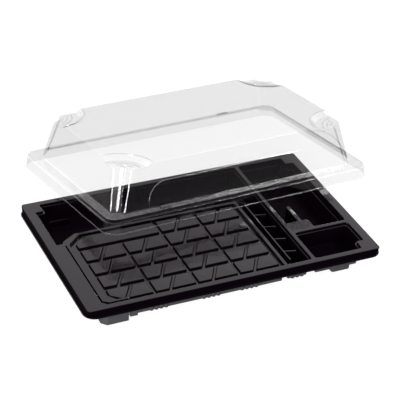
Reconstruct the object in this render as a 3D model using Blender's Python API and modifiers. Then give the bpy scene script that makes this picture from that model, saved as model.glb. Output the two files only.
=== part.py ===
"""A black formed plastic sushi tray, with its clear domed lid leaning on the rim.

Both pieces are thin formed sheets. A sheet is built as rings of points at set
heights: neighbouring rings are joined by walls, and a flat closes the space
between a ring and the rings that lie inside it. Solidify then gives the sheet
its thickness. Sizes are in millimetres. Tray heights are measured from the top
of its rim, and lid heights from the top of its flange.
"""

import math

import bmesh
import bpy
from mathutils import Matrix

MM = 0.001

# Tray: overall sizes.
TRAY_WIDTH = 250.0
TRAY_DEPTH = 155.0
TRAY_HEIGHT = 22.0
TRAY_SHEET = 0.6
RIM_CORNER = 1.4
RIM_CORNER_GROWTH = 0.8

# Tray: heights of its levels, down from the rim.
SHELF = -2.0
PANEL = -4.5
FLOOR = -16.2
FOOT = -(TRAY_HEIGHT - TRAY_SHEET)
SAUCE_LEDGE = -5.0
TILE_RISE = 1.5

# Tray: the cavities' edges on the rim.
CAVITY_X = 118.9
CAVITY_Y = 73.9
LEDGE_X = 112.6
KEY_X = 112.0
KEY_Y = 64.0
BACK_NOOK_Y = 13.0
DIVIDER_LEFT = 66.5
DIVIDER_RIGHT = 69.0
CROSS_FRONT = -35.2
CROSS_BACK = -32.6

# Tray: how far each lower level's outline lies inside the one above it.
SHELF_STEP = 1.5
FRONT_STEP = 1.1
RIDGE = 2.3

# Tray: the tiled panel. Its recess ends at these edges on the shelf.
RECESS_LEFT = -107.6
RECESS_RIGHT = 43.2
RECESS_BACK = 24.4
TILE_LEFT = -102.0
TILE_FRONT = 6.6
CELL_WIDTH = 36.1
ROW_DEPTH = 18.55
GROOVE = 3.1
SIDE_GROOVE = 2.2
TILE_ROWS = 5
TILE_CELLS = 4
TILE_SHORT = 11.0
TILE_SLANT = 9.2

# Tray: ribs on the long walls, in groups. A group is its middle and its number of ribs.
PANEL_RIBS = ((-65.0, 4), (-20.5, 4), (12.5, 4))
CHANNEL_RIBS = ((55.4, 3),)
RIB_PITCH = 4.1
RIB_BASE = 2.9
RIB_CREST = 1.6
RIB_BULGE = 0.01
SLOT_RIB_BULGE = 0.8
RIB_HOLD = 0.65

# Tray: feet.
FOOT_NEAR_X = 88.3
FRONT_LEFT_FOOT_X = -90.6
FRONT_LEFT_FOOT_Y = -69.4
FOOT_FAR_X = 105.0
FOOT_NEAR_Y = 61.3
FOOT_FAR_Y = 69.3
SLOT_FRONT = -71.6
SLOT_BACK = -68.35

# Lid: sizes in its own frame.
LID_SHEET = 0.5
LIP_DROP = 12.0
LIP_X = 128.4
LIP_Y = 80.7
FLANGE_X = 125.4
FLANGE_Y = 77.9
FLANGE_CORNER = 9.0
DOME_BASE_X = 117.6
DOME_BASE_Y = 71.2
CORNER_STEP = 33.5
DOME_STEP_X = 110.5
DOME_STEP_Y = 65.0
DOME_TOP = 37.0
DOME_TOP_X = 109.8
DOME_TOP_Y = 64.3
STEP_ARC_LOW = 25.0
STEP_ARC_HIGH = 29.5
STEP_EDGE = 1.5

# Lid: how it leans on the tray, from the centre of the tray's rim.
LID_TURN = math.radians(6.5)
LID_TIP = math.radians(-7.4)
LID_ROLL = math.radians(2.06)
LID_PLACE = (36.9, 89.5, 6.56)

# The whole part's footprint is centred on the origin.
CENTRE = (22.5, 50.4)


# Outlines: each corner is (x, y, radius, bulge), anticlockwise.


def corner(x, y, radius=0.0, bulge=0.0):
    return (x, y, radius, bulge)


def box_outline(half_x, half_y, radius):
    signs = ((-1, -1), (1, -1), (1, 1), (-1, 1))
    return [corner(sx * half_x, sy * half_y, radius) for sx, sy in signs]


def rib_points(y, groups, bulge=RIB_BULGE):
    """Plain points along a long wall, whose crests bulge away from the cavity."""
    points = []
    for middle, count in groups:
        for index in range(count):
            x = middle + (index - (count - 1) / 2) * RIB_PITCH
            points.append(corner(x - RIB_BASE / 2, y))
            points.append(corner(x - RIB_CREST / 2, y, 0.0, bulge))
            points.append(corner(x + RIB_CREST / 2, y, 0.0, bulge))
            points.append(corner(x + RIB_BASE / 2, y))
    return points[::-1] if y > 0 else points


def edge_normals(corners):
    """The outward normal of the edge that leaves each corner."""
    normals = []
    for (x0, y0, _, _), (x1, y1, _, _) in zip(corners, corners[1:] + corners[:1]):
        length = math.hypot(x1 - x0, y1 - y0)
        normals.append(((y1 - y0) / length, (x0 - x1) / length))
    return normals


def grown(corners, outward):
    """The outline moved outward; convex radii grow with it and reflex ones shrink.

    A rib's crest moves by less than the wall, so ribs deepen as the wall draws in.
    """
    normals = edge_normals(corners)
    result = []
    for index, (x, y, radius, bulge) in enumerate(corners):
        (ax, ay), (bx, by) = normals[index - 1], normals[index]
        move = outward * (1 - RIB_HOLD) + bulge if bulge else outward
        move /= 1 + ax * bx + ay * by
        turn = ax * by - ay * bx
        if radius:
            radius = max(radius + outward * math.copysign(1.0, turn), 0.4)
        result.append(corner(x + (ax + bx) * move, y + (ay + by) * move, radius))
    return result


def rounded(corners, steps):
    """The outline's points, each radius drawn as an arc of so many steps."""
    normals = edge_normals(corners)
    points = []
    for index, (x, y, radius, _) in enumerate(corners):
        if not radius:
            points.append((x, y))
            continue
        (ax, ay), (bx, by) = normals[index - 1], normals[index]
        turn = math.atan2(ax * by - ay * bx, ax * bx + ay * by)
        side = math.copysign(radius, turn)
        scale = side / (1 + ax * bx + ay * by)
        centre_x, centre_y = x - (ax + bx) * scale, y - (ay + by) * scale
        start = math.atan2(ay, ax)
        for step in range(steps + 1):
            angle = start + turn * step / steps
            points.append((centre_x + side * math.cos(angle), centre_y + side * math.sin(angle)))
    return points


# Sheets.


class Sheet:
    """An open formed surface, made of rings, walls and flats."""

    def __init__(self, corner_steps):
        self.mesh = bmesh.new()
        self.corner_steps = corner_steps

    def ring(self, corners, height, outward=0.0):
        points = rounded(grown(corners, outward), self.corner_steps)
        return [self.mesh.verts.new((x, y, height)) for x, y in points]

    def wall(self, first, second):
        for index in range(len(first)):
            quad = (first[index - 1], first[index], second[index], second[index - 1])
            self.mesh.faces.new(quad)

    def walls(self, rings):
        for first, second in zip(rings, rings[1:]):
            self.wall(first, second)

    def flat(self, outer, holes=()):
        """Closes the level space inside one ring and outside the others."""
        edges = []
        for loop in (outer, *holes):
            for first, second in zip(loop, loop[1:] + loop[:1]):
                edge = self.mesh.edges.get((first, second))
                edges.append(edge or self.mesh.edges.new((first, second)))
        bmesh.ops.triangle_fill(self.mesh, edges=edges, use_beauty=True)

    def pocket(self, corners, top, bottom, draft, lip=0.5, toe=0.8):
        """Walls from an outline down to a smaller one. Returns the first and last rings."""
        depth = abs(top - bottom)
        run = (depth - lip - toe) * math.tan(math.radians(draft))
        profile = [(0.0, 0.0), (lip + run, depth - toe)]
        if lip:
            profile.insert(1, (lip, lip))
        if toe:
            profile.append((lip + run + toe * 0.7, depth))
        way = math.copysign(1.0, bottom - top)
        rings = [self.ring(corners, top + way * drop, -inset) for inset, drop in profile]
        self.walls(rings)
        return rings[0], rings[-1]

    def finish(self, name, material, thickness, collection):
        """Makes the object: normals up, sizes in metres, and thickness below the surface."""
        bmesh.ops.recalc_face_normals(self.mesh, faces=self.mesh.faces)
        widest = max(self.mesh.faces, key=lambda face: face.calc_area())
        if widest.normal.z < 0:
            bmesh.ops.reverse_faces(self.mesh, faces=self.mesh.faces)
        bmesh.ops.transform(self.mesh, matrix=Matrix.Scale(MM, 4), verts=self.mesh.verts)
        data = bpy.data.meshes.new(name)
        self.mesh.to_mesh(data)
        self.mesh.free()
        data.materials.append(material)
        sheet = bpy.data.objects.new(name, data)
        collection.objects.link(sheet)
        solid = sheet.modifiers.new("thickness", "SOLIDIFY")
        solid.thickness = thickness * MM
        solid.offset = -1.0
        solid.solidify_mode = "NON_MANIFOLD"
        solid.nonmanifold_thickness_mode = "CONSTRAINTS"
        return sheet


# Tray.


def tray_skirt(sheet):
    """The rim's outer edge and the flared skirt below it. Returns the rim's own ring."""
    profile = ((0.0, 0.0), (0.7, -0.3), (1.0, -1.0), (1.6, -6.3), (2.4, -7.0))
    rings = []
    for outward, height in profile:
        radius = RIM_CORNER - RIM_CORNER_GROWTH * height
        rim = box_outline(TRAY_WIDTH / 2, TRAY_DEPTH / 2, radius)
        rings.append(sheet.ring(rim, height, outward))
    sheet.walls(rings)
    return rings[0]


def main_cavity_outline():
    return [
        corner(-LEDGE_X, -CAVITY_Y, 3.0),
        corner(DIVIDER_LEFT, -CAVITY_Y, 2.5),
        corner(DIVIDER_LEFT, CAVITY_Y, 2.5),
        corner(-KEY_X, CAVITY_Y, 2.0),
        corner(-KEY_X, KEY_Y, 1.0),
        corner(-CAVITY_X, KEY_Y, 2.0),
        corner(-CAVITY_X, BACK_NOOK_Y, 2.0),
        corner(-LEDGE_X, BACK_NOOK_Y, 1.0),
    ]


def trough_outline():
    """The deep trough along the back wall, with the channel beside the main divider."""
    left = RECESS_RIGHT + RIDGE
    front = RECESS_BACK + RIDGE
    far_left = -CAVITY_X + SHELF_STEP
    right = DIVIDER_LEFT - SHELF_STEP
    back = CAVITY_Y - SHELF_STEP
    return [
        corner(left, -back, 1.5),
        *rib_points(-back, CHANNEL_RIBS),
        corner(right, -back, 2.0),
        corner(right, back, 2.0),
        *rib_points(back, PANEL_RIBS + CHANNEL_RIBS),
        corner(-KEY_X + SHELF_STEP, back, 2.0),
        corner(-KEY_X + SHELF_STEP, KEY_Y - SHELF_STEP, 1.0),
        corner(far_left, KEY_Y - SHELF_STEP, 2.0),
        corner(far_left, BACK_NOOK_Y + 1.6, 2.0),
        corner(-LEDGE_X, BACK_NOOK_Y + 1.6, 2.0),
        corner(-LEDGE_X + 2.4, BACK_NOOK_Y + 6.0, 1.0),
        corner(-98.0, front, 4.0),
        corner(left, front, 1.5),
    ]


def recess_outline():
    """The panel's recess. Its front left corner goes round the foot there."""
    front = -CAVITY_Y + FRONT_STEP
    foot_end = FRONT_LEFT_FOOT_X + 1.2
    foot_back = FRONT_LEFT_FOOT_Y + 1.6
    return [
        corner(foot_end, front, 0.8),
        *rib_points(front, PANEL_RIBS),
        corner(RECESS_RIGHT, front, 1.5),
        corner(RECESS_RIGHT, RECESS_BACK, 3.0),
        corner(-95.5, RECESS_BACK, 3.0),
        corner(RECESS_LEFT, RECESS_BACK - 10.8, 3.0),
        corner(RECESS_LEFT, -56.5, 3.0),
        corner(-98.8, foot_back, 3.0),
        corner(foot_end, foot_back, 0.8),
    ]


def front_slot_outline():
    """The narrow slot between the panel and the front wall."""
    return [
        corner(-88.4, SLOT_FRONT),
        *rib_points(SLOT_FRONT, PANEL_RIBS, SLOT_RIB_BULGE),
        corner(41.6, SLOT_FRONT),
        corner(41.6, SLOT_BACK),
        corner(-88.4, SLOT_BACK),
    ]


def front_left_foot_outline():
    """A narrow pocket that cuts across the tray's front left corner."""
    left = -LEDGE_X + 1.1
    right = left + 1.6
    return [
        corner(-107.5, SLOT_FRONT, 1.0),
        corner(FRONT_LEFT_FOOT_X, SLOT_FRONT),
        corner(FRONT_LEFT_FOOT_X, FRONT_LEFT_FOOT_Y),
        corner(-105.3, FRONT_LEFT_FOOT_Y),
        corner(right, -66.4),
        corner(right, -58.5),
        corner(left, -58.5),
        corner(left, -67.4, 1.0),
    ]


def foot_outline(side_x, side_y):
    """A foot in the floor of a deep compartment."""
    middle_x = side_x * (FOOT_NEAR_X + FOOT_FAR_X) / 2
    middle_y = side_y * (FOOT_NEAR_Y + FOOT_FAR_Y) / 2
    half_x = (FOOT_FAR_X - FOOT_NEAR_X) / 2
    half_y = (FOOT_FAR_Y - FOOT_NEAR_Y) / 2
    shape = box_outline(half_x, half_y, 2.0)
    return [corner(x + middle_x, y + middle_y, radius) for x, y, radius, _ in shape]


def cell_tiles(left, front, back, row, cell):
    """The two tiles of one cell: four-sided, with a slanting groove between them."""
    right = left + CELL_WIDTH - SIDE_GROOVE
    split = left + TILE_SHORT
    first = [(left, front), (split, front), (split + TILE_SLANT, back), (left, back)]
    second = [
        (split + SIDE_GROOVE, front),
        (right, front),
        (right, back),
        (split + TILE_SLANT + SIDE_GROOVE, back),
    ]
    if (row, cell) == (TILE_ROWS - 1, 0):
        lifted = front + 0.8
        first = [(left + 7.5, lifted), (split, lifted), *first[2:], (left, lifted + 6.5)]
    return first, second


def tile_outlines():
    """Every raised tile, from the back row to the front one."""
    outlines = []
    for row in range(TILE_ROWS):
        front = TILE_FRONT - row * ROW_DEPTH
        back = front + ROW_DEPTH - GROOVE
        for cell in range(TILE_CELLS):
            left = TILE_LEFT + cell * CELL_WIDTH
            if row == 0 and cell < 2:
                continue
            outlines.extend(cell_tiles(left, front, back, row, cell))
        if row == 0:
            right = TILE_LEFT + 2 * CELL_WIDTH - SIDE_GROOVE
            block = [(TILE_LEFT, front), (right, front), (right, back)]
            outlines.append([*block, (TILE_LEFT + 8.0, back), (TILE_LEFT, back - 9.0)])
    return [[corner(x, y) for x, y in outline] for outline in outlines]


def add_tiles(sheet):
    """Raises the tiles on the panel and returns the rings that they stand on."""
    bases = []
    for outline in tile_outlines():
        base = sheet.ring(outline, PANEL)
        top = sheet.ring(outline, PANEL + TILE_RISE, -0.5)
        sheet.wall(base, top)
        sheet.flat(top)
        bases.append(base)
    return bases


def add_main_cavity(sheet):
    """The left three quarters of the tray. Returns its ring on the rim."""
    edge, shelf = sheet.pocket(main_cavity_outline(), 0.0, SHELF, 6.0, lip=0.5, toe=0.2)
    recess_edge, panel = sheet.pocket(recess_outline(), SHELF, PANEL, 8.0, lip=0, toe=0)
    trough_edge, trough = sheet.pocket(trough_outline(), SHELF, FLOOR, 6.0, lip=0)
    foot_edge, foot = sheet.pocket(front_left_foot_outline(), SHELF, FOOT, 1.0, lip=0, toe=0)
    sheet.flat(shelf, (recess_edge, trough_edge, foot_edge))
    sheet.flat(foot)
    slot_edge, slot = sheet.pocket(front_slot_outline(), PANEL, FLOOR, 2.0, lip=0, toe=0)
    sheet.flat(slot)
    sheet.flat(panel, (slot_edge, *add_tiles(sheet)))
    back_foot_edge, back_foot = sheet.pocket(foot_outline(-1, 1), FLOOR, FOOT, 3.0, 0.3, 0.4)
    sheet.flat(trough, (back_foot_edge,))
    sheet.flat(back_foot)
    return edge


def front_right_outline(inset):
    return grown(
        [
            corner(DIVIDER_RIGHT, -CAVITY_Y, 3.0),
            corner(KEY_X, -CAVITY_Y, 2.0),
            corner(KEY_X, -KEY_Y, 1.5),
            corner(CAVITY_X, -KEY_Y, 2.0),
            corner(CAVITY_X, CROSS_FRONT, 4.0),
            corner(DIVIDER_RIGHT, CROSS_FRONT, 3.0),
        ],
        -inset,
    )


def back_right_outline(inset):
    return grown(
        [
            corner(DIVIDER_RIGHT, CROSS_BACK, 3.0),
            corner(CAVITY_X, CROSS_BACK, 3.0),
            corner(CAVITY_X, KEY_Y, 2.0),
            corner(KEY_X, KEY_Y, 1.5),
            corner(KEY_X, CAVITY_Y, 2.0),
            corner(DIVIDER_RIGHT, CAVITY_Y, 3.0),
        ],
        -inset,
    )


def back_right_deep_outline():
    """The deep part goes round a ledge and a short fin at the front of the compartment."""
    inset = SHELF_STEP + 0.8
    front_right, back_right, reflex, back, back_left = back_right_outline(inset)[1:]
    left = DIVIDER_RIGHT + inset
    ledge_right, ledge_back = 93.0, -14.5
    fin_left, fin_right, fin_back = 84.6, 87.4, 8.0
    return [
        corner(left, ledge_back, 1.5),
        corner(fin_left, ledge_back, 1.0),
        corner(fin_left, fin_back, 0.8),
        corner(fin_right, fin_back, 0.8),
        corner(fin_right, ledge_back, 1.0),
        corner(ledge_right, ledge_back, 2.0),
        corner(ledge_right, front_right[1], 1.5),
        front_right,
        back_right,
        reflex,
        back,
        back_left,
    ]


def add_front_right(sheet):
    edge, shelf = sheet.pocket(front_right_outline(0), 0.0, SHELF, 6.0, lip=0.5, toe=0.2)
    deep_edge, floor = sheet.pocket(front_right_outline(SHELF_STEP), SHELF, FLOOR, 5.0)
    sheet.flat(shelf, (deep_edge,))
    foot_edge, foot = sheet.pocket(foot_outline(1, -1), FLOOR, FOOT, 3.0, 0.3, 0.4)
    sheet.flat(floor, (foot_edge,))
    sheet.flat(foot)
    return edge


def add_back_right(sheet):
    edge, shelf = sheet.pocket(back_right_outline(0), 0.0, SHELF, 6.0, lip=0.5, toe=0.2)
    outline = back_right_outline(SHELF_STEP)
    ledge_edge, ledge = sheet.pocket(outline, SHELF, SAUCE_LEDGE, 8.0, lip=0, toe=0)
    sheet.flat(shelf, (ledge_edge,))
    deep_edge, floor = sheet.pocket(back_right_deep_outline(), SAUCE_LEDGE, FLOOR, 3.0, lip=0.4)
    sheet.flat(ledge, (deep_edge,))
    foot_edge, foot = sheet.pocket(foot_outline(1, 1), FLOOR, FOOT, 3.0, 0.3, 0.4)
    sheet.flat(floor, (foot_edge,))
    sheet.flat(foot)
    return edge


def make_tray(collection, material):
    sheet = Sheet(corner_steps=2)
    rim = tray_skirt(sheet)
    cavities = (add_main_cavity(sheet), add_front_right(sheet), add_back_right(sheet))
    sheet.flat(rim, cavities)
    return sheet.finish("tray", material, TRAY_SHEET, collection)


# Lid.


def four_corners(quarter):
    """A whole outline from its back right quarter, given from the right to the back."""
    quarter = [corner(*entry) for entry in quarter]
    mirrored = [corner(-x, y, r) for x, y, r, _ in reversed(quarter)]
    back_half = quarter + mirrored
    return back_half + [corner(-x, -y, r) for x, y, r, _ in back_half]


def dome_outline(height):
    """The dome's wall: keyed corners at the flange turn into round ones at the step."""
    part = height / CORNER_STEP
    low = (
        (DOME_BASE_X, 41.0, 0.0),
        (DOME_BASE_X, 60.8, 1.5),
        (112.2, 64.2, 1.5),
        (108.5, DOME_BASE_Y, 1.5),
        (88.0, DOME_BASE_Y, 0.0),
    )
    high = (
        (DOME_STEP_X, DOME_STEP_Y - STEP_ARC_LOW - STEP_EDGE, 0.0),
        (DOME_STEP_X, 53.2, 7.0),
        (106.0, 60.6, 5.0),
        (98.8, DOME_STEP_Y, 7.0),
        (DOME_STEP_X - STEP_ARC_LOW - STEP_EDGE, DOME_STEP_Y, 0.0),
    )
    quarter = []
    for below, above in zip(low, high):
        quarter.append([a + (b - a) * part for a, b in zip(below, above)])
    return four_corners(quarter)


def crown_outline(half_x, half_y, arc):
    """The crown above the corner steps: a box with a round bite out of each corner."""
    bite = arc - STEP_EDGE - 0.6
    quarter = (
        (half_x, half_y - arc, STEP_EDGE),
        (half_x - arc, half_y - arc, bite),
        (half_x - arc, half_y, STEP_EDGE),
    )
    return four_corners(quarter)


def lid_skirt(sheet):
    """The lip, the flared skirt and the flange's outer edge. Returns the flange's ring."""
    flange = box_outline(FLANGE_X, FLANGE_Y, FLANGE_CORNER)
    flare = LIP_X - FLANGE_X
    profile = (
        (flare + 0.6, -LIP_DROP),
        (flare - 0.4, -LIP_DROP + 0.8),
        (flare - 1.4, -5.0),
        (0.3, -1.0),
        (0.0, -0.3),
        (-0.7, 0.0),
    )
    rings = [sheet.ring(flange, height, outward) for outward, height in profile]
    sheet.walls(rings)
    return rings[-1]


def add_corner_steps(sheet, wall, crown):
    """The level areas between the wall's round corners and the crown's bites."""
    wall_quarter, crown_quarter = len(wall) // 4, len(crown) // 4
    for quarter in range(4):
        outer = wall[quarter * wall_quarter : (quarter + 1) * wall_quarter]
        inner = crown[quarter * crown_quarter : (quarter + 1) * crown_quarter]
        sheet.flat(outer + inner[::-1][1:-1])


def crown_ring(sheet, wall):
    """The crown's lowest ring, which shares the wall's points where the two are flush."""
    low = sheet.ring(crown_outline(DOME_STEP_X, DOME_STEP_Y, STEP_ARC_LOW), CORNER_STEP)
    wall_quarter, crown_quarter = len(wall) // 4, len(low) // 4
    for quarter in range(4):
        start, end = quarter * wall_quarter, (quarter + 1) * wall_quarter - 1
        first, last = quarter * crown_quarter, (quarter + 1) * crown_quarter - 1
        for spare, kept in ((first, start), (last, end)):
            sheet.mesh.verts.remove(low[spare])
            low[spare] = wall[kept]
    return low


def make_lid(collection, material):
    sheet = Sheet(corner_steps=2)
    flange = lid_skirt(sheet)
    toe = sheet.ring(dome_outline(0.0), 0.0, 1.0)
    foot = sheet.ring(dome_outline(0.3), 0.3, 0.3)
    rise = sheet.ring(dome_outline(1.0), 1.0)
    wall = sheet.ring(dome_outline(CORNER_STEP), CORNER_STEP)
    sheet.walls((toe, foot, rise, wall))
    sheet.flat(flange, (toe,))
    low = crown_ring(sheet, wall)
    add_corner_steps(sheet, wall, low)
    high = crown_outline(DOME_TOP_X, DOME_TOP_Y, STEP_ARC_HIGH)
    shoulder = sheet.ring(high, DOME_TOP - 0.8)
    bend = sheet.ring(high, DOME_TOP - 0.2, -0.3)
    top = sheet.ring(high, DOME_TOP, -1.0)
    sheet.walls((low, shoulder, bend, top))
    sheet.flat(top)
    return sheet.finish("lid", material, LID_SHEET, collection)


# Materials and the whole part.


def plastic(name, colour, roughness, transmission=0.0):
    material = bpy.data.materials.new(name)
    material.use_nodes = True
    shader = material.node_tree.nodes["Principled BSDF"]
    shader.inputs["Base Color"].default_value = (*colour, 1.0)
    shader.inputs["Metallic"].default_value = 0.0
    shader.inputs["Roughness"].default_value = roughness
    shader.inputs["Transmission Weight"].default_value = transmission
    return material


def clear_scene():
    for item in list(bpy.data.objects):
        bpy.data.objects.remove(item)


def main():
    clear_scene()
    collection = bpy.data.collections.new("sushi_tray")
    bpy.context.scene.collection.children.link(collection)
    rim_centre = bpy.data.objects.new("rim_centre", None)
    rim_centre.location = (-CENTRE[0] * MM, -CENTRE[1] * MM, TRAY_HEIGHT * MM)
    collection.objects.link(rim_centre)
    tray = make_tray(collection, plastic("tray_black", (0.008, 0.007, 0.009), 0.12))
    tray.parent = rim_centre
    lid = make_lid(collection, plastic("lid_clear", (0.95, 0.96, 0.97), 0.03, 1.0))
    lid.parent = rim_centre
    lid.location = [value * MM for value in LID_PLACE]
    lid.rotation_mode = "ZYX"
    lid.rotation_euler = (LID_TIP, LID_ROLL, LID_TURN)


main()
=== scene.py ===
"""The looks of an empty black sushi tray with its clear domed lid leaning on the rim.

Both pieces are formed sheets. A sheet is built as rings of points: neighbouring
rings are joined by walls, and flats close the level areas between rings. Sizes
are in millimetres. Tray heights are measured from the top of its rim, and lid
heights from the top of its flange.
"""

import math

import bmesh
import bpy
from mathutils import Matrix, Vector
from mathutils.geometry import delaunay_2d_cdt


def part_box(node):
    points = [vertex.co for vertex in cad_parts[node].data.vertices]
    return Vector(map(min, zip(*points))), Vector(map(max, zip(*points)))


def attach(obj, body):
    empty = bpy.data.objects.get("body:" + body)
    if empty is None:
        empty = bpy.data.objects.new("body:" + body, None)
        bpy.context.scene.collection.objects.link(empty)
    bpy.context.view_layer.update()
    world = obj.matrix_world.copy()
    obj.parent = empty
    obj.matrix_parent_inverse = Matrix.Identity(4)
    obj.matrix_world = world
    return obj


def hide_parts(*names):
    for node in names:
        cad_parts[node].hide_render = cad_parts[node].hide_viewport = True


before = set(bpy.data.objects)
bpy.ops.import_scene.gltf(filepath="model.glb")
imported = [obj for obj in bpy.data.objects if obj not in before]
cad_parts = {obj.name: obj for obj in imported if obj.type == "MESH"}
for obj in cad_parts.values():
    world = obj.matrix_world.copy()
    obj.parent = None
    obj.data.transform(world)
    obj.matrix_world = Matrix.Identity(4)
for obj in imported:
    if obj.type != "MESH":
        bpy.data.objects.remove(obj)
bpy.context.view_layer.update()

MM = 0.001

# Tray: overall sizes.
TRAY_WIDTH = 250.0
TRAY_DEPTH = 155.0
TRAY_HEIGHT = 22.0
TRAY_SHEET = 0.6
RIM_CORNER = 1.4
RIM_CORNER_GROWTH = 0.8
RIM_GROWTH = 0.7
SKIRT_DEPTH = 6.1
SKIRT_DRAFT = 5.0

# Tray: heights of its levels, down from the rim.
SHELF = -2.0
PANEL = -4.5
FLOOR = -16.2
FOOT = -(TRAY_HEIGHT - TRAY_SHEET)
SAUCE_LEDGE = -5.0
TILE_RISE = 1.5

# Tray: the cavities' edges on the rim.
CAVITY_X = 118.9
CAVITY_Y = 73.9
LEDGE_X = 112.6
KEY_X = 112.0
KEY_Y = 64.0
BACK_NOOK_Y = 13.0
DIVIDER_LEFT = 66.5
DIVIDER_RIGHT = 69.0
CROSS_FRONT = -35.2
CROSS_BACK = -32.6

# Tray: how far each lower level's outline lies inside the one above it.
SHELF_STEP = 1.5
FRONT_STEP = 1.1
RIDGE = 2.3

# Tray: the tiled panel. Its recess ends at these edges on the shelf.
RECESS_LEFT = -107.6
RECESS_RIGHT = 43.2
RECESS_BACK = 24.4
TILE_LEFT = -102.0
TILE_FRONT = 6.6
CELL_WIDTH = 36.1
ROW_DEPTH = 18.55
GROOVE = 3.1
SIDE_GROOVE = 2.2
TILE_ROWS = 5
TILE_CELLS = 4
TILE_SHORT = 11.0
TILE_SLANT = 9.2

# Tray: ribs on the long walls, in groups. A group is its middle and its number of ribs.
PANEL_RIBS = ((-65.0, 4), (-20.5, 4), (12.5, 4))
CHANNEL_RIBS = ((55.4, 3),)
RIB_PITCH = 4.1
RIB_BASE = 2.9
RIB_BULGE = 0.01
SLOT_RIB_BULGE = 0.8
RIB_HOLD = 0.65
RIB_STEPS = 6

# Tray: the rib and rungs in the channel. Sizes are those at its floor.
LADDER_LEFT = 49.6
LADDER_BAR = 3.0
LADDER_END = 62.0
LADDER_FRONT = -66.0
LADDER_BACK = 22.0
LADDER_RUNG_BACK = 4.2
LADDER_RUNGS = 4
LADDER_SLANT = 2.6
LADDER_TOP = -2.6

# Tray: feet.
FOOT_NEAR_X = 88.3
FRONT_LEFT_FOOT_X = -89.9
FRONT_LEFT_FOOT_Y = -69.4
FRONT_STEP_FLOOR = -18.5
FOOT_FAR_X = 105.0
FOOT_NEAR_Y = 61.3
FOOT_FAR_Y = 69.3
FOOT_DRAFT = 3.0

# Tray: the narrow slot at the panel's front, and the lower step in its floor.
SLOT_LEFT = -88.7
SLOT_RIGHT = 41.6
SLOT_FRONT = -71.6
SLOT_BACK = -68.35
STEP_LEFT = -88.25
STEP_RIGHT = -82.5

# Lid: sizes in its own frame.
LID_SHEET = 0.5
LIP_DROP = 12.0
LIP_X = 128.4
FLANGE_X = 125.4
FLANGE_Y = 77.9
FLANGE_CORNER = 9.0
DOME_BASE_X = 117.6
DOME_BASE_Y = 71.2
CORNER_STEP = 33.5
DOME_STEP_X = 110.5
DOME_STEP_Y = 65.0
DOME_TOP = 37.0
DOME_TOP_X = 109.8
DOME_TOP_Y = 64.3
STEP_ARC_LOW = 25.0
STEP_ARC_HIGH = 29.5
STEP_EDGE = 1.5
TERRACES = 3

# Lid: the catch on the flange of each long side.
CATCH_LEFT = 66.0
CATCH_RIGHT = 78.0
CATCH_NEAR = 72.6
CATCH_FAR = 76.2
CATCH_RADIUS = 0.6
CATCH_RISE = 1.8
CATCH_DRAFT = 28.0

# Lid: the beads on its walls.
BEAD_WIDTH = 0.9
BEAD_HEIGHT = 0.5
PANEL_LEFT = -86.0
PANEL_TOP = 20.6
PANEL_CURVE = 17.0
END_ARC = 40.0
END_ARC_CENTRE = (70.0, -4.0)
# Radius, height, and the angles between which each corner bead runs.
CORNER_BEADS = (
    (31.5, 36.9, 5.0, 85.0),
    (21.0, 33.4, 8.0, 82.0),
    (17.0, 33.4, 20.0, 70.0),
    (13.5, 33.4, 30.0, 60.0),
)

# Lid: how it leans on the tray, from the centre of the tray's rim.
LID_TURN = math.radians(6.5)
LID_TIP = math.radians(-7.4)
LID_ROLL = math.radians(2.06)
LID_PLACE = (36.9, 89.5, 6.56)

# Tray: the places of its finishes in its list. The second and third are darker, duller copies of
# the gloss black: painted shade for the lower and steeper parts.
LEVELS = 0
PAINTED_BASE_SHADE = 1
PAINTED_WALL_SHADE = 2

# Lid: the places of its films in its list.
FILM_WALLS = 0
FILM_LEVELS = 1
# The beads' film is a glossier copy of the film: partly real reflection, partly painted highlight.
FILM_BEAD_HIGHLIGHT = 2

# How finely curves are drawn.
CORNER_STEPS = 7
FILLET_STEPS = 4
WALL_BANDS = 8
ARCH_STEPS = 12
BEAD_STEPS = 4


# Outlines: each corner is (x, y, radius, rib), anticlockwise. A rib's height on the
# crest is 1, and plain corners have 0.


def corner(x, y, radius=0.0, rib=0.0):
    return (x, y, radius, rib)


def box_outline(half_x, half_y, radius):
    signs = ((-1, -1), (1, -1), (1, 1), (-1, 1))
    return [corner(sx * half_x, sy * half_y, radius) for sx, sy in signs]


def rib_points(y, groups):
    """Points along a long wall, for rounded ribs that stand out from the cavity."""
    points = []
    for middle, count in groups:
        for index in range(count):
            x = middle + (index - (count - 1) / 2) * RIB_PITCH
            for step in range(RIB_STEPS + 1):
                part = step / RIB_STEPS
                height = math.sin(math.pi * part) ** 0.7
                points.append(corner(x + (part - 0.5) * RIB_BASE, y, 0.0, height))
    return points[::-1] if y > 0 else points


def edge_normals(corners):
    """The outward normal of the edge that leaves each corner."""
    normals = []
    for (x0, y0, _, _), (x1, y1, _, _) in zip(corners, corners[1:] + corners[:1]):
        length = math.hypot(x1 - x0, y1 - y0)
        normals.append(((y1 - y0) / length, (x0 - x1) / length))
    return normals


def grown(corners, outward, bulge):
    """The outline moved outward; convex radii grow with it and reflex ones shrink.

    A rib's crest moves by less than the wall, so ribs deepen as the wall draws in.
    """
    normals = edge_normals(corners)
    result = []
    for index, (x, y, radius, rib) in enumerate(corners):
        (ax, ay), (bx, by) = normals[index - 1], normals[index]
        move = outward * (1 - RIB_HOLD * rib) + bulge * rib
        move /= 1 + ax * bx + ay * by
        turn = ax * by - ay * bx
        if radius:
            radius = max(radius + outward * math.copysign(1.0, turn), 0.4)
        result.append(corner(x + (ax + bx) * move, y + (ay + by) * move, radius))
    return result


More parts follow.
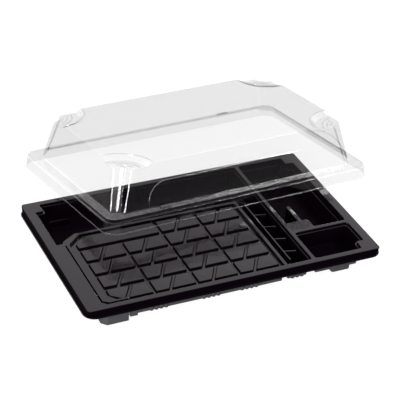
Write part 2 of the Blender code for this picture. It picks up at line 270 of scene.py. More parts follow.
def rounded(corners, steps):
    """The outline's points, each radius drawn as an arc of so many steps."""
    normals = edge_normals(corners)
    points = []
    for index, (x, y, radius, _) in enumerate(corners):
        if not radius:
            points.append((x, y))
            continue
        (ax, ay), (bx, by) = normals[index - 1], normals[index]
        turn = math.atan2(ax * by - ay * bx, ax * bx + ay * by)
        side = math.copysign(radius, turn)
        scale = side / (1 + ax * bx + ay * by)
        centre_x, centre_y = x - (ax + bx) * scale, y - (ay + by) * scale
        start = math.atan2(ay, ax)
        for step in range(steps + 1):
            angle = start + turn * step / steps
            points.append((centre_x + side * math.cos(angle), centre_y + side * math.sin(angle)))
    return points


def wall_profile(depth, draft, lip, toe):
    """(inset, drop) pairs down a leaning wall with a rounded top edge and foot."""
    lean = math.radians(90 - draft)
    turns = [lean * step / FILLET_STEPS for step in range(FILLET_STEPS + 1)]
    bent = 1 - math.cos(lean)
    straight = (depth - (lip + toe) * bent) * math.tan(math.radians(draft))
    end = (lip + toe) * math.sin(lean) + straight
    upper = [(lip * math.sin(turn), lip * (1 - math.cos(turn))) for turn in turns]
    lower = [(end - toe * math.sin(turn), depth - toe * (1 - math.cos(turn))) for turn in turns]
    return (upper if lip else upper[:1]) + (lower[::-1] if toe else lower[:1])


def inside(place, edges, places):
    """True if a line from the place crosses the edges an odd number of times."""
    crossings = 0
    for first, second in edges:
        (x0, y0), (x1, y1) = places[first], places[second]
        if (y0 > place.y) != (y1 > place.y):
            crossings += place.x < x0 + (place.y - y0) / (y1 - y0) * (x1 - x0)
    return crossings % 2 == 1


# Sheets.


class Sheet:
    """An open formed surface, made of rings, walls and flats."""

    def __init__(self):
        self.mesh = bmesh.new()
        self.finish_index = 0

    def face(self, points):
        self.mesh.faces.new(points).material_index = self.finish_index

    def ring(self, corners, height, outward=0.0, bulge=RIB_BULGE):
        points = rounded(grown(corners, outward, bulge), CORNER_STEPS)
        return [self.mesh.verts.new((x, y, height)) for x, y in points]

    def wall(self, first, second):
        for index in range(len(first)):
            self.face((first[index - 1], first[index], second[index], second[index - 1]))

    def walls(self, rings):
        for first, second in zip(rings, rings[1:]):
            self.wall(first, second)

    def flat(self, outer, holes=(), finish_index=0):
        """Closes the level space inside one ring and outside the others."""
        self.finish_index = finish_index
        points, edges = [], []
        for loop in (outer, *holes):
            start, count = len(points), len(loop)
            edges.extend((start + index, start + (index + 1) % count) for index in range(count))
            points.extend(loop)
        places = [point.co.xy for point in points]
        _, _, triangles, sources, _, _ = delaunay_2d_cdt(places, edges, [], 0, 1e-5)
        for triangle in triangles:
            trio = [points[sources[index][0]] for index in triangle]
            middle = sum((point.co.xy for point in trio), Vector((0.0, 0.0))) / 3
            if inside(middle, edges, places):
                self.face(trio)
        self.finish_index = 0

    def pocket(self, corners, top, bottom, draft, lip=0.0, toe=0.0, bulge=RIB_BULGE, wall=PAINTED_WALL_SHADE):
        """Walls from an outline down to a smaller one. Returns the first and last rings."""
        way = math.copysign(1.0, bottom - top)
        profile = wall_profile(abs(top - bottom), draft, lip, toe)
        rings = [self.ring(corners, top + way * drop, -inset, bulge) for inset, drop in profile]
        lip_rings = FILLET_STEPS if lip else 0
        self.finish_index = 0
        self.walls(rings[: lip_rings + 1])
        # On the tray, the walls below the rounded top edge take a darker copy of the black: painted
        # shade.
        self.finish_index = wall
        self.walls(rings[lip_rings:])
        self.finish_index = 0
        return rings[0], rings[-1]

    def bead(self, places, outward):
        """A half-round ridge along a path on a wall that faces outward."""
        rows = []
        for index, place in enumerate(places):
            ahead = places[min(index + 1, len(places) - 1)] - places[max(index - 1, 0)]
            across = ahead.normalized().cross(outward)
            full = 0.1 if index in (0, len(places) - 1) else 1.0
            row = []
            for step in range(BEAD_STEPS + 1):
                angle = math.pi * step / BEAD_STEPS
                aside = across * (-math.cos(angle) * full * BEAD_WIDTH / 2)
                rise = outward * (math.sin(angle) * full * BEAD_HEIGHT)
                row.append(self.mesh.verts.new(place + aside + rise))
            rows.append(row)
        for first, second in zip(rows, rows[1:]):
            for index in range(BEAD_STEPS):
                self.face((first[index], first[index + 1], second[index + 1], second[index]))

    def finish(self, name, thickness, materials, under=0):
        """Makes the object: normals up, sizes in metres, and thickness below the surface."""
        bmesh.ops.recalc_face_normals(self.mesh, faces=self.mesh.faces)
        widest = max(self.mesh.faces, key=lambda face: face.calc_area())
        if widest.normal.z < 0:
            bmesh.ops.reverse_faces(self.mesh, faces=self.mesh.faces)
        bmesh.ops.transform(self.mesh, matrix=Matrix.Scale(MM, 4), verts=self.mesh.verts)
        data = bpy.data.meshes.new(name)
        self.mesh.to_mesh(data)
        self.mesh.free()
        for material in materials:
            data.materials.append(material)
        data.shade_smooth()
        data.set_sharp_from_angle(angle=math.radians(38))
        sheet = bpy.data.objects.new(name, data)
        bpy.context.scene.collection.objects.link(sheet)
        solid = sheet.modifiers.new("thickness", "SOLIDIFY")
        solid.thickness = thickness * MM
        solid.offset = -1.0
        solid.use_even_offset = False
        solid.material_offset = under
        normals = sheet.modifiers.new("flat_normals", "WEIGHTED_NORMAL")
        normals.keep_sharp = True
        normals.weight = 80
        return sheet


# Tray.


def tray_skirt(sheet):
    """The rim's outer edge and the flared skirt below it. Returns the rim's own ring."""
    edge = wall_profile(SKIRT_DEPTH, SKIRT_DRAFT, 0.5, 0.9)
    profile = [*edge, (edge[-1][0] + 0.5, 6.2), (edge[-1][0] + 0.6, 6.6)]
    rings = []
    for outward, drop in profile:
        radius = RIM_CORNER + RIM_CORNER_GROWTH * drop
        rim = box_outline(TRAY_WIDTH / 2, TRAY_DEPTH / 2, radius)
        rings.append(sheet.ring(rim, -drop, outward + RIM_GROWTH))
    sheet.walls(rings[:3])
    # Painted shade: the skirt below its rounded top edge takes the darker wall finish. Its flare at
    # the bottom is back in the gloss black.
    sheet.finish_index = PAINTED_WALL_SHADE
    sheet.walls(rings[2:-2])
    sheet.finish_index = LEVELS
    sheet.walls(rings[-3:])
    return rings[0]


def main_cavity_outline():
    return [
        corner(-LEDGE_X, -CAVITY_Y, 3.0),
        corner(DIVIDER_LEFT, -CAVITY_Y, 2.5),
        corner(DIVIDER_LEFT, CAVITY_Y, 2.5),
        corner(-KEY_X, CAVITY_Y, 2.0),
        corner(-KEY_X, KEY_Y, 1.0),
        corner(-CAVITY_X, KEY_Y, 2.0),
        corner(-CAVITY_X, BACK_NOOK_Y, 2.0),
        corner(-LEDGE_X, BACK_NOOK_Y, 1.0),
    ]


def trough_outline():
    """The deep trough along the back wall, with the channel beside the main divider."""
    left = RECESS_RIGHT + RIDGE
    front = RECESS_BACK + RIDGE
    far_left = -CAVITY_X + SHELF_STEP
    right = DIVIDER_LEFT - SHELF_STEP
    back = CAVITY_Y - SHELF_STEP
    return [
        corner(left, -back, 1.5),
        *rib_points(-back, CHANNEL_RIBS),
        corner(right, -back, 2.0),
        corner(right, back, 2.0),
        *rib_points(back, PANEL_RIBS + CHANNEL_RIBS),
        corner(-KEY_X + SHELF_STEP, back, 2.0),
        corner(-KEY_X + SHELF_STEP, KEY_Y - SHELF_STEP, 1.0),
        corner(far_left, KEY_Y - SHELF_STEP, 2.0),
        corner(far_left, BACK_NOOK_Y + 1.6, 2.0),
        corner(-LEDGE_X, BACK_NOOK_Y + 1.6, 2.0),
        corner(-LEDGE_X + 2.4, BACK_NOOK_Y + 6.0, 1.0),
        corner(-98.0, front, 4.0),
        corner(left, front, 1.5),
    ]


def recess_outline():
    """The panel's recess. Its front left corner goes round the foot there."""
    front = -CAVITY_Y + FRONT_STEP
    foot_end = FRONT_LEFT_FOOT_X + 0.4
    foot_back = FRONT_LEFT_FOOT_Y + 1.6
    return [
        corner(foot_end, front, 0.8),
        *rib_points(front, PANEL_RIBS),
        corner(RECESS_RIGHT, front, 1.5),
        corner(RECESS_RIGHT, RECESS_BACK, 3.0),
        corner(-95.5, RECESS_BACK, 3.0),
        corner(RECESS_LEFT, RECESS_BACK - 10.8, 3.0),
        corner(RECESS_LEFT, -56.5, 3.0),
        corner(-98.8, foot_back, 3.0),
        corner(foot_end, foot_back, 0.8),
    ]


def front_slot_outline():
    """The narrow slot between the panel and the front wall."""
    return [
        corner(SLOT_LEFT, SLOT_FRONT),
        *rib_points(SLOT_FRONT, PANEL_RIBS),
        corner(SLOT_RIGHT, SLOT_FRONT),
        corner(SLOT_RIGHT, SLOT_BACK),
        corner(SLOT_LEFT, SLOT_BACK),
    ]


def front_step_outline():
    """A lower part of the slot's floor, beside the front left foot."""
    front, back = SLOT_FRONT + 0.55, SLOT_BACK - 0.6
    left, right = STEP_LEFT, STEP_RIGHT
    return [corner(left, front), corner(right, front), corner(right, back), corner(left, back)]


def front_left_foot_outline():
    """A narrow pocket that cuts across the tray's front left corner."""
    left = -LEDGE_X + 1.1
    right = left + 1.6
    return [
        corner(-107.5, SLOT_FRONT, 1.0),
        corner(FRONT_LEFT_FOOT_X, SLOT_FRONT),
        corner(FRONT_LEFT_FOOT_X, FRONT_LEFT_FOOT_Y),
        corner(-105.3, FRONT_LEFT_FOOT_Y),
        corner(right, -66.4),
        corner(right, -58.5),
        corner(left, -58.5),
        corner(left, -67.4, 1.0),
    ]


def shade_line_groove_outline():
    """A fine groove with a dark floor at the foot of the main cavity's left wall: a painted shade
    line.
    """
    left, right = -LEDGE_X + 0.85, -LEDGE_X + 2.6
    return [corner(left, -58.1), corner(right, -58.1), corner(right, 13.0), corner(left, 13.0)]


def foot_outline(side_x, side_y):
    """A foot in the floor of a deep compartment."""
    middle_x = side_x * (FOOT_NEAR_X + FOOT_FAR_X) / 2
    middle_y = side_y * (FOOT_NEAR_Y + FOOT_FAR_Y) / 2
    half_x = (FOOT_FAR_X - FOOT_NEAR_X) / 2
    half_y = (FOOT_FAR_Y - FOOT_NEAR_Y) / 2
    shape = box_outline(half_x, half_y, 2.0)
    return [corner(x + middle_x, y + middle_y, radius) for x, y, radius, _ in shape]


def add_foot(sheet, side_x, side_y):
    """A foot's pocket, closed at its bottom. Returns its edge in the floor."""
    edge, foot = sheet.pocket(foot_outline(side_x, side_y), FLOOR, FOOT, FOOT_DRAFT, 0.3, 0.4)
    # Painted shade: the foot's bottom takes the darker wall finish.
    sheet.flat(foot, (), PAINTED_WALL_SHADE)
    return edge


def cell_tiles(left, front, back, row, cell):
    """The two tiles of one cell: four-sided, with a slanting groove between them."""
    right = left + CELL_WIDTH - SIDE_GROOVE
    split = left + TILE_SHORT
    first = [(left, front), (split, front), (split + TILE_SLANT, back), (left, back)]
    second = [
        (split + SIDE_GROOVE, front),
        (right, front),
        (right, back),
        (split + TILE_SLANT + SIDE_GROOVE, back),
    ]
    if (row, cell) == (TILE_ROWS - 1, 0):
        lifted = front + 0.8
        first = [(left + 7.5, lifted), (split, lifted), *first[2:], (left, lifted + 6.5)]
    return first, second


def tile_outlines():
    """Every raised tile, from the back row to the front one."""
    outlines = []
    for row in range(TILE_ROWS):
        front = TILE_FRONT - row * ROW_DEPTH
        back = front + ROW_DEPTH - GROOVE
        for cell in range(TILE_CELLS):
            left = TILE_LEFT + cell * CELL_WIDTH
            if row == 0 and cell < 2:
                continue
            outlines.extend(cell_tiles(left, front, back, row, cell))
        if row == 0:
            right = TILE_LEFT + 2 * CELL_WIDTH - SIDE_GROOVE
            block = [(TILE_LEFT, front), (right, front), (right, back)]
            outlines.append([*block, (TILE_LEFT + 8.0, back), (TILE_LEFT, back - 9.0)])
    return [[corner(x, y, 0.5) for x, y in outline] for outline in outlines]


def add_tiles(sheet):
    """Raises the tiles on the panel and returns the rings that they stand on."""
    bases = []
    for outline in tile_outlines():
        profile = ((-0.15, 0.0), (-0.05, 0.1), (0.15, 1.2), (0.3, 1.4), (0.6, TILE_RISE))
        rings = [sheet.ring(outline, PANEL + rise, -inset) for inset, rise in profile]
        # Painted shade: the tiles' sides take the darker wall finish.
        sheet.finish_index = PAINTED_WALL_SHADE
        sheet.walls(rings)
        sheet.flat(rings[-1])
        bases.append(rings[0])
    return bases


def ladder_outline():
    """A thin rib along the channel with short rungs towards the main divider."""
    left, right, end = LADDER_LEFT, LADDER_LEFT + LADDER_BAR, LADDER_END
    outline = [corner(left, LADDER_BACK), corner(left, LADDER_FRONT), corner(right, LADDER_FRONT)]
    for index in reversed(range(LADDER_RUNGS)):
        back = LADDER_RUNG_BACK - index * ROW_DEPTH
        front = back - LADDER_BAR
        outline += [corner(right, front), corner(end, front - LADDER_SLANT)]
        outline += [corner(end, back - LADDER_SLANT), corner(right, back)]
    return outline + [corner(right, LADDER_BACK)]


def add_ladder(sheet):
    base, top = sheet.pocket(ladder_outline(), FLOOR, LADDER_TOP, 3.0, 0.0, 0.3)
    sheet.flat(top)
    return base


def add_main_cavity(sheet):
    """The left three quarters of the tray. Returns its ring on the rim."""
    edge, shelf = sheet.pocket(main_cavity_outline(), 0.0, SHELF, 6.0, lip=0.4, toe=0.1)
    # Painted shade: the recess walls take the base finish, a darker, duller copy of the gloss
    # black.
    recess_edge, panel = sheet.pocket(recess_outline(), SHELF, PANEL, 8.0, lip=0.2, wall=PAINTED_BASE_SHADE)
    trough_edge, trough = sheet.pocket(trough_outline(), SHELF, FLOOR, 6.0, lip=0.3, toe=0.6)
    foot_edge, foot = sheet.pocket(front_left_foot_outline(), SHELF, FOOT, 1.0)
    # Painted shade: a shallow groove along the left wall's foot, its floor in the darker wall
    # finish, draws the shade line there.
    shade_line_edge, groove = sheet.pocket(shade_line_groove_outline(), SHELF, SHELF - 0.9, 2.0)
    sheet.flat(groove, (), PAINTED_WALL_SHADE)
    sheet.flat(shelf, (recess_edge, trough_edge, foot_edge, shade_line_edge))
    # Painted shade: the foot, slot, step and trough floors take the darker wall finish.
    sheet.flat(foot, (), PAINTED_WALL_SHADE)
    slot_edge, slot = sheet.pocket(front_slot_outline(), PANEL, FLOOR, 2.0, bulge=SLOT_RIB_BULGE)
    step_edge, step = sheet.pocket(front_step_outline(), FLOOR, FRONT_STEP_FLOOR, 2.0)
    sheet.flat(slot, (step_edge,), PAINTED_WALL_SHADE)
    sheet.flat(step, (), PAINTED_WALL_SHADE)
    sheet.flat(panel, (slot_edge, *add_tiles(sheet)))
    sheet.flat(trough, (add_foot(sheet, -1, 1), add_ladder(sheet)), PAINTED_WALL_SHADE)
    return edge


def inset_outline(outline, inset):
    return grown(outline, -inset, 0.0)


def front_right_outline(inset):
    return inset_outline(
        [
            corner(DIVIDER_RIGHT, -CAVITY_Y, 3.0),
            corner(KEY_X, -CAVITY_Y, 2.0),
            corner(KEY_X, -KEY_Y, 1.5),
            corner(CAVITY_X, -KEY_Y, 2.0),
            corner(CAVITY_X, CROSS_FRONT, 4.0),
            corner(DIVIDER_RIGHT, CROSS_FRONT, 3.0),
        ],
        inset,
    )


def back_right_outline(inset):
    return inset_outline(
        [
            corner(DIVIDER_RIGHT, CROSS_BACK, 3.0),
            corner(CAVITY_X, CROSS_BACK, 3.0),
            corner(CAVITY_X, KEY_Y, 2.0),
            corner(KEY_X, KEY_Y, 1.5),
            corner(KEY_X, CAVITY_Y, 2.0),
            corner(DIVIDER_RIGHT, CAVITY_Y, 3.0),
        ],
        inset,
    )


def back_right_deep_outline():
    """The deep part goes round a ledge and a short fin at the front of the compartment."""
    inset = SHELF_STEP + 0.8
    front_right, back_right, reflex, back, back_left = back_right_outline(inset)[1:]
    left = DIVIDER_RIGHT + inset
    ledge_right, ledge_back = 93.0, -14.5
    fin_left, fin_right, fin_back = 84.6, 87.4, 8.0
    return [
        corner(left, ledge_back, 1.5),
        corner(fin_left, ledge_back, 1.0),
        corner(fin_left, fin_back, 0.8),
        corner(fin_right, fin_back, 0.8),
        corner(fin_right, ledge_back, 1.0),
        corner(ledge_right, ledge_back, 2.0),
        corner(ledge_right, front_right[1], 1.5),
        front_right,
        back_right,
        reflex,
        back,
        back_left,
    ]


def add_front_right(sheet):
    edge, shelf = sheet.pocket(front_right_outline(0), 0.0, SHELF, 6.0, lip=0.4, toe=0.3)
    outline = front_right_outline(SHELF_STEP)
    deep_edge, floor = sheet.pocket(outline, SHELF, FLOOR, 5.0, lip=0.4, toe=0.8)
    sheet.flat(shelf, (deep_edge,))
    # Painted shade: the deep floor takes the darker wall finish.
    sheet.flat(floor, (add_foot(sheet, 1, -1),), PAINTED_WALL_SHADE)
    return edge


def add_back_right(sheet):
    edge, shelf = sheet.pocket(back_right_outline(0), 0.0, SHELF, 6.0, lip=0.4, toe=0.3)
    outline = back_right_outline(SHELF_STEP)
    ledge_edge, ledge = sheet.pocket(outline, SHELF, SAUCE_LEDGE, 8.0)
    sheet.flat(shelf, (ledge_edge,))
    deep_edge, floor = sheet.pocket(back_right_deep_outline(), SAUCE_LEDGE, FLOOR, 3.0, 0.4, 0.8)
    sheet.flat(ledge, (deep_edge,))
    # Painted shade: the deep floor takes the darker wall finish.
    sheet.flat(floor, (add_foot(sheet, 1, 1),), PAINTED_WALL_SHADE)
    return edge


def make_tray(materials):
    sheet = Sheet()
    rim = tray_skirt(sheet)
    cavities = (add_main_cavity(sheet), add_front_right(sheet), add_back_right(sheet))
    sheet.flat(rim, cavities)
    return sheet.finish("tray_shell", TRAY_SHEET, materials, len(materials) - 1)


# Lid.


def four_corners(quarter):
    """A whole outline from its back right quarter, given from the right to the back."""
    quarter = [corner(*entry) for entry in quarter]
    mirrored = [corner(-x, y, r) for x, y, r, _ in reversed(quarter)]
    back_half = quarter + mirrored
    return back_half + [corner(-x, -y, r) for x, y, r, _ in back_half]


def dome_outline(height):
    """The dome's wall: its corners are fluted, deeper at the flange than at the step."""
    part = height / CORNER_STEP
    low = (
        (DOME_BASE_X, 41.0, 0.0),
        (DOME_BASE_X, 60.8, 0.5),
        (117.1, 62.2, 0.3),
        (116.3, 63.0, 0.3),
        (113.4, 64.6, 0.3),
        (111.8, 66.2, 0.3),
        (110.2, 67.2, 0.3),
        (108.9, 70.4, 0.3),
        (108.1, DOME_BASE_Y, 0.3),
        (88.0, DOME_BASE_Y, 0.0),
    )
    high = (
        (DOME_STEP_X, DOME_STEP_Y - STEP_ARC_LOW - STEP_EDGE, 0.0),
        (DOME_STEP_X, 51.5, 0.5),
        (110.2, 53.4, 0.3),
        (109.4, 54.2, 0.3),
        (104.2, 55.6, 0.3),
        (102.6, 57.2, 0.3),
        (101.0, 57.9, 0.3),
        (99.5, 64.2, 0.3),
        (98.7, DOME_STEP_Y, 0.3),
        (DOME_STEP_X - STEP_ARC_LOW - STEP_EDGE, DOME_STEP_Y, 0.0),
    )
    quarter = []
    for below, above in zip(low, high):
        quarter.append([a + (b - a) * part for a, b in zip(below, above)])
    return four_corners(quarter)


def crown_outline(half_x, half_y, arc):
    """The crown above the corner steps: a box with a round bite out of each corner."""
    bite = arc - STEP_EDGE - 0.6
    quarter = (
        (half_x, half_y - arc, STEP_EDGE),
        (half_x - arc, half_y - arc, bite),
        (half_x - arc, half_y, STEP_EDGE),
    )
    return four_corners(quarter)


def lid_skirt(sheet):
    """The lip, the flared skirt and the flange's outer edge. Returns the flange's ring."""
    flange = box_outline(FLANGE_X, FLANGE_Y, FLANGE_CORNER)
    flare = LIP_X - FLANGE_X
    profile = [
        (flare + 0.35, -LIP_DROP),
        (flare - 0.1, -LIP_DROP + 0.35),
        (flare - 0.5, -LIP_DROP + 1.0),
        (2.0, -3.6),
        (1.85, -2.9),
        (1.65, -2.55),
        (1.3, -2.35),
        (0.75, -2.3),
        (0.5, -2.1),
        (0.2, -0.5),
        (0.1, -0.15),
        (-0.2, 0.0),
        (-0.4, 0.0),
    ]
    rings = [sheet.ring(flange, height, outward) for outward, height in profile]
    sheet.walls(rings)
    return rings[-1]


def add_corner_steps(sheet, wall, crown):
    """The level areas between the wall's round corners and the crown's bites."""
    wall_quarter, crown_quarter = len(wall) // 4, len(crown) // 4
    for quarter in range(4):
        outer = wall[quarter * wall_quarter : (quarter + 1) * wall_quarter]
        inner = crown[quarter * crown_quarter : (quarter + 1) * crown_quarter]
        sheet.flat(outer + inner[::-1][1:-1], (), FILM_LEVELS)


def crown_ring(sheet, wall):
    """The crown's lowest ring, which shares the wall's points where the two are flush."""
    low = sheet.ring(crown_outline(DOME_STEP_X, DOME_STEP_Y, STEP_ARC_LOW), CORNER_STEP)
    wall_quarter, crown_quarter = len(wall) // 4, len(low) // 4
    for quarter in range(4):
        start, end = quarter * wall_quarter, (quarter + 1) * wall_quarter - 1
        first, last = quarter * crown_quarter, (quarter + 1) * crown_quarter - 1
        for spare, kept in ((first, start), (last, end)):
            sheet.mesh.verts.remove(low[spare])
            low[spare] = wall[kept]
    return low


def crown_terraces(sheet):
    """Rings that shape each bite's wall as a flight of small steps."""
    rings = []
    for level in range(TERRACES):
        for part, rise in ((level + 0.15, 0.75), (level + 0.85, 0.95)):
            height = CORNER_STEP + (DOME_TOP - 1.0 - CORNER_STEP) * (level + rise) / TERRACES
            share = (height - CORNER_STEP) / (DOME_TOP - CORNER_STEP)
            half_x = DOME_STEP_X + (DOME_TOP_X - DOME_STEP_X) * share
            half_y = DOME_STEP_Y + (DOME_TOP_Y - DOME_STEP_Y) * share
            arc = STEP_ARC_LOW + (STEP_ARC_HIGH - STEP_ARC_LOW) * part / TERRACES
            rings.append(sheet.ring(crown_outline(half_x, half_y, arc), height))
    return rings


def add_catches(sheet):
    """A raised catch on the flange of each long side. Returns their edges in the flange."""
    places = (
        (CATCH_RIGHT, CATCH_FAR),
        (CATCH_LEFT, CATCH_FAR),
        (CATCH_LEFT, CATCH_NEAR),
        (CATCH_RIGHT, CATCH_NEAR),
    )
    edges = []
    for side in (-1, 1):
        outline = [corner(side * x, side * y, CATCH_RADIUS) for x, y in places]
        edge, top = sheet.pocket(outline, 0.0, CATCH_RISE, CATCH_DRAFT, wall=FILM_WALLS)
        sheet.flat(top)
        edges.append(edge)
    return edges


def arc_places(centre, radius, start, end):
    """Points along an arc, between two angles in degrees."""
    turns = [start + (end - start) * step / ARCH_STEPS for step in range(ARCH_STEPS + 1)]
    angles = [math.radians(turn) for turn in turns]
    return [
        (centre[0] + radius * math.cos(angle), centre[1] + radius * math.sin(angle))
        for angle in angles
    ]


def add_wall_beads(sheet):
    """Two fine beads on the front wall: a panel's edge, and a wide arc at the right end."""
    lean = (DOME_BASE_Y - DOME_STEP_Y) / CORNER_STEP
    shoulder = (PANEL_LEFT + PANEL_CURVE, PANEL_TOP - PANEL_CURVE)
    panel = [(PANEL_LEFT, 0.8), *arc_places(shoulder, PANEL_CURVE, 180, 90), (60.0, PANEL_TOP)]
    for path in (panel, arc_places(END_ARC_CENTRE, END_ARC, 6, 80)):
        places = [Vector((x, lean * up - DOME_BASE_Y, up)) for x, up in path]
        sheet.bead(places, Vector((0.0, -1.0, lean)).normalized())


def add_corner_beads(sheet):
    """Fine beads in arcs round each corner of the dome: one on the crown's edge, the rest lower."""
    for side_x in (-1, 1):
        for side_y in (-1, 1):
            for radius, height, start, end in CORNER_BEADS:
                arc = arc_places((DOME_STEP_X, DOME_STEP_Y), radius, 180 + start, 180 + end)
                places = [Vector((side_x * x, side_y * y, height)) for x, y in arc]
                sheet.bead(places, Vector((0.0, 0.0, 1.0)))


def make_lid(materials):
    sheet = Sheet()
    flange = lid_skirt(sheet)
    toe = [(0.8, 0.0), (0.6, 0.0), (0.3, 0.06), (0.08, 0.25), (0.0, 0.6), (0.0, 0.8)]
    foot = [sheet.ring(dome_outline(height), height, outward) for outward, height in toe]
    bands = [CORNER_STEP * band / WALL_BANDS for band in range(1, WALL_BANDS + 1)]
    wall = [sheet.ring(dome_outline(height), height) for height in bands]
    sheet.walls(foot + wall)
    sheet.flat(flange, (foot[0], *add_catches(sheet)), FILM_LEVELS)
    low = crown_ring(sheet, wall[-1])
    add_corner_steps(sheet, wall[-1], low)
    high = crown_outline(DOME_TOP_X, DOME_TOP_Y, STEP_ARC_HIGH)
    bend = [(0.0, -0.7), (-0.1, -0.35), (-0.3, -0.12), (-0.7, 0.0), (-0.9, 0.0)]
    crown = crown_terraces(sheet)
    crown += [sheet.ring(high, DOME_TOP + drop, outward) for outward, drop in bend]
    sheet.walls([low, *crown])
    sheet.flat(crown[-1], (), FILM_LEVELS)
    sheet.finish_index = FILM_BEAD_HIGHLIGHT
    add_wall_beads(sheet)
    add_corner_beads(sheet)
    return sheet.finish("lid_shell", LID_SHEET, materials)


# Materials.

# The film's clearness and gloss, from seen face on (0) to seen edge on (1).
WALL_CLEAR = ((0.0, 0.91), (0.25, 0.93), (0.5, 0.965), (1.0, 0.985))
WALL_GLOSS = ((0.0, 0.024), (0.3, 0.024), (0.5, 0.07), (0.8, 0.1), (1.0, 0.15))
LEVEL_CLEAR = ((0.0, 0.92), (0.6, 0.88), (0.8, 0.96), (1.0, 0.97))
LEVEL_GLOSS = ((0.0, 0.03), (0.3, 0.04), (0.58, 0.095), (0.8, 0.08), (1.0, 0.15))
# Painted highlight: the beads reflect several times as much as the film, so they read as bright
# lines.
BEAD_CLEAR = ((0.0, 0.94), (1.0, 0.93))
BEAD_HIGHLIGHT_GLOSS = ((0.0, 0.1), (1.0, 0.25))


def new_material(name):
    material = bpy.data.materials.new(name)
    material.use_nodes = True
    nodes = material.node_tree.nodes
    return material, nodes, material.node_tree.links, nodes["Principled BSDF"]


def noise(nodes, links, scale, detail):
    """Noise in the object's own space, in metres."""
    place = nodes.new("ShaderNodeTexCoord")
    texture = nodes.new("ShaderNodeTexNoise")
    texture.inputs["Scale"].default_value = scale
    texture.inputs["Detail"].default_value = detail
    links.new(place.outputs["Object"], texture.inputs["Vector"])
    return texture.outputs["Fac"]


def ramp(nodes, links, value, low, high):
    """The value, from 0 to 1, mapped to a range of numbers."""
    node = nodes.new("ShaderNodeMapRange")
    node.inputs["To Min"].default_value = low
    node.inputs["To Max"].default_value = high
    links.new(value, node.inputs["Value"])
    return node.outputs["Result"]


def bump(nodes, links, height, distance, strength=1.0):
    node = nodes.new("ShaderNodeBump")
    node.inputs["Distance"].default_value = distance
    node.inputs["Strength"].default_value = strength
    links.new(height, node.inputs["Height"])
    return node.outputs["Normal"]


def gloss_black():
    """The tray's shiny upper side: black with a faint plum cast, and slight waves."""
    material, nodes, links, shader = new_material("gloss_black")
    shader.inputs["Base Color"].default_value = (0.003, 0.0018, 0.0032, 1.0)
    cloud = noise(nodes, links, 90.0, 3.0)
    links.new(ramp(nodes, links, cloud, 0.05, 0.10), shader.inputs["Roughness"])
    waves = noise(nodes, links, 28.0, 1.0)
    links.new(bump(nodes, links, waves, 0.0006, 0.25), shader.inputs["Normal"])
    return material


def painted_shade_black(name, specular, roughness):
    """Painted shade for the lower and steeper parts of the tray, which see less of the room: a copy
    of the gloss black, darker and with less gloss.
    """
    material, nodes, links, shader = new_material(name)
    shader.inputs["Base Color"].default_value = (0.0026, 0.0012, 0.0028, 1.0)
    shader.inputs["Specular IOR Level"].default_value = specular
    cloud = noise(nodes, links, 90.0, 3.0)
    links.new(ramp(nodes, links, cloud, roughness, roughness + 0.08), shader.inputs["Roughness"])
    waves = noise(nodes, links, 28.0, 1.0)
    links.new(bump(nodes, links, waves, 0.0006, 0.25), shader.inputs["Normal"])
    return material


def matt_black():
    """The tray's duller underside."""
    material, nodes, links, shader = new_material("matt_black")
    cloud = noise(nodes, links, 160.0, 4.0)
    mix = nodes.new("ShaderNodeValToRGB")
    mix.color_ramp.elements[0].color = (0.075, 0.073, 0.077, 1.0)
    mix.color_ramp.elements[1].color = (0.105, 0.102, 0.107, 1.0)
    links.new(cloud, mix.inputs["Fac"])
    links.new(mix.outputs["Color"], shader.inputs["Base Color"])
    shader.inputs["Roughness"].default_value = 0.5
    return material


def grey_ramp(nodes, links, value, stops):
    """The value mapped to a grey level through a row of (place, level) stops."""
    node = nodes.new("ShaderNodeValToRGB")
    elements = node.color_ramp.elements
    while len(elements) < len(stops):
        elements.new(1.0)
    for element, (place, level) in zip(elements, stops):
        element.position = place
        element.color = (level, level, level, 1.0)
    links.new(value, node.inputs["Fac"])
    return node.outputs["Color"]


def clear_film(name, clearness, glossiness):
    """Clear film: light passes straight through, under a gloss that grows at a slant."""
    material, nodes, links, shader = new_material(name)
    nodes.remove(shader)
    output = nodes["Material Output"]
    facing = nodes.new("ShaderNodeLayerWeight")
    facing.inputs["Blend"].default_value = 0.5
    clear = nodes.new("ShaderNodeBsdfTransparent")
    links.new(grey_ramp(nodes, links, facing.outputs["Facing"], clearness), clear.inputs["Color"])
    gloss = nodes.new("ShaderNodeBsdfGlossy")
    gloss.inputs["Color"].default_value = (1.0, 1.0, 1.0, 1.0)
    waves = noise(nodes, links, 25.0, 1.0)
    links.new(ramp(nodes, links, waves, 0.02, 0.05), gloss.inputs["Roughness"])
    links.new(bump(nodes, links, waves, 0.0004, 0.02), gloss.inputs["Normal"])
    mix = nodes.new("ShaderNodeMixShader")
    links.new(grey_ramp(nodes, links, facing.outputs["Facing"], glossiness), mix.inputs["Fac"])
    links.new(clear.outputs[0], mix.inputs[1])
    links.new(gloss.outputs[0], mix.inputs[2])
    links.new(mix.outputs[0], output.inputs["Surface"])
    return material


# Studio.

FLOOR_SIZE = 8.0
FLOOR_DROP = 0.0004

# The sky's brightness against the height of the direction looked in, from 0 to 1.
SKY = ((0.06, 0.03), (0.17, 0.9), (0.3, 1.6), (0.5, 1.15), (0.62, 0.95), (1.0, 0.5))

CAMERA_PLACE = (-0.4948, -1.0178, 0.7406)
CAMERA_TURN = (57.17, -2.93, -24.11)
CAMERA_LENS = 142.65


def make_camera():
    camera = bpy.data.objects.new("camera", bpy.data.cameras.new("camera"))
    bpy.context.scene.collection.objects.link(camera)
    camera.location = CAMERA_PLACE
    camera.rotation_euler = [math.radians(angle) for angle in CAMERA_TURN]
    camera.data.lens = CAMERA_LENS
    camera.data.sensor_width = 36.0
    bpy.context.scene.camera = camera


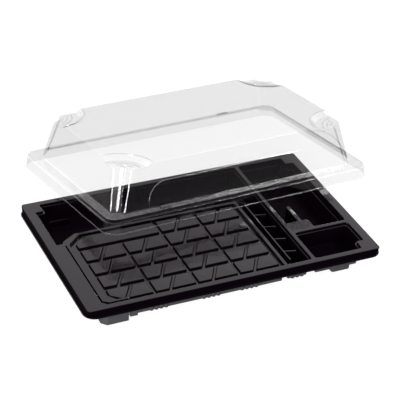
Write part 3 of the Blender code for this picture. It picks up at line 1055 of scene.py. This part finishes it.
def make_floor():
    data = bpy.data.meshes.new("floor")
    mesh = bmesh.new()
    bmesh.ops.create_grid(mesh, x_segments=1, y_segments=1, size=FLOOR_SIZE / 2)
    mesh.to_mesh(data)
    mesh.free()
    floor = bpy.data.objects.new("floor", data)
    bpy.context.scene.collection.objects.link(floor)
    material, nodes, links, shader = new_material("floor_white")
    shader.inputs["Base Color"].default_value = (0.12, 0.12, 0.12, 1.0)
    shader.inputs["Roughness"].default_value = 1.0
    shader.inputs["Specular IOR Level"].default_value = 0.0
    shader.inputs["Emission Color"].default_value = (1.0, 1.0, 1.0, 1.0)
    path = nodes.new("ShaderNodeLightPath")
    glow = ramp(nodes, links, path.outputs["Is Camera Ray"], 0.1, 0.95)
    links.new(glow, shader.inputs["Emission Strength"])
    data.materials.append(material)
    floor.location.z = -FLOOR_DROP


def make_world():
    """A pale studio: brightest low down, dim at the horizon and dimmer overhead.

    The camera sees plain white in its place.
    """
    world = bpy.data.worlds.new("studio")
    world.use_nodes = True
    bpy.context.scene.world = world
    nodes, links = world.node_tree.nodes, world.node_tree.links
    background = nodes["Background"]
    place = nodes.new("ShaderNodeTexCoord")
    split = nodes.new("ShaderNodeSeparateXYZ")
    links.new(place.outputs["Generated"], split.inputs[0])
    sky = nodes.new("ShaderNodeValToRGB")
    stops = sky.color_ramp.elements
    while len(stops) < len(SKY):
        stops.new(1.0)
    for stop, (height, level) in zip(stops, SKY):
        stop.position = height
        stop.color = (level, level * 0.965, level * 0.985, 1.0)
    links.new(split.outputs["Z"], sky.inputs["Fac"])
    path = nodes.new("ShaderNodeLightPath")
    mix = nodes.new("ShaderNodeMix")
    mix.data_type = "RGBA"
    links.new(path.outputs["Is Camera Ray"], mix.inputs["Factor"])
    links.new(sky.outputs["Color"], mix.inputs["A"])
    mix.inputs["B"].default_value = (1.0, 1.0, 1.0, 1.0)
    links.new(mix.outputs["Result"], background.inputs["Color"])


def make_light(name, place, target, size, power):
    data = bpy.data.lights.new(name, "AREA")
    data.shape = "RECTANGLE"
    data.size, data.size_y = size
    data.energy = power
    light = bpy.data.objects.new(name, data)
    bpy.context.scene.collection.objects.link(light)
    light.location = place
    light.rotation_euler = (Vector(target) - Vector(place)).to_track_quat("-Z", "Y").to_euler()
    light.visible_camera = False


def make_lights():
    make_light("left", (-1.4, -0.95, 0.5), (0, 0, 0.03), (0.35, 0.6), 14.0)
    make_light("overhead", (1.05, -0.5, 1.15), (0, 0, 0.03), (0.5, 0.4), 18.0)


# The whole scene.


def place_pieces(tray, lid):
    """Sets both pieces at the frame's place: the tray's box gives the rim's centre."""
    low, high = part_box("tray")
    centre = Vector(((low.x + high.x) / 2, (low.y + high.y) / 2, high.z))
    tray.location = centre
    lid.rotation_mode = "ZYX"
    lid.rotation_euler = (LID_TIP, LID_ROLL, LID_TURN)
    lid.location = centre + Vector(LID_PLACE) * MM


def main():
    scene = bpy.context.scene
    scene.view_settings.view_transform = "Standard"
    make_camera()
    make_world()
    make_lights()
    make_floor()

    tray = make_tray((
        gloss_black(),
        # Painted shade: two darker, duller copies of the gloss black, one for the recess walls and
        # one for the deep walls, floors, tile sides and skirt.
        painted_shade_black("base_black_painted_shade", 0.24, 0.08),
        painted_shade_black("wall_black_painted_shade", 0.008, 0.25),
        matt_black(),
    ))
    lid = make_lid((
        clear_film("wall_film", WALL_CLEAR, WALL_GLOSS),
        clear_film("level_film", LEVEL_CLEAR, LEVEL_GLOSS),
        clear_film("bead_film_painted_highlight", BEAD_CLEAR, BEAD_HIGHLIGHT_GLOSS),
    ))
    place_pieces(tray, lid)
    for piece, node, finish in ((tray, "tray", "black_plastic"), (lid, "lid", "clear_plastic")):
        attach(piece, "root")
        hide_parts(node)


main()
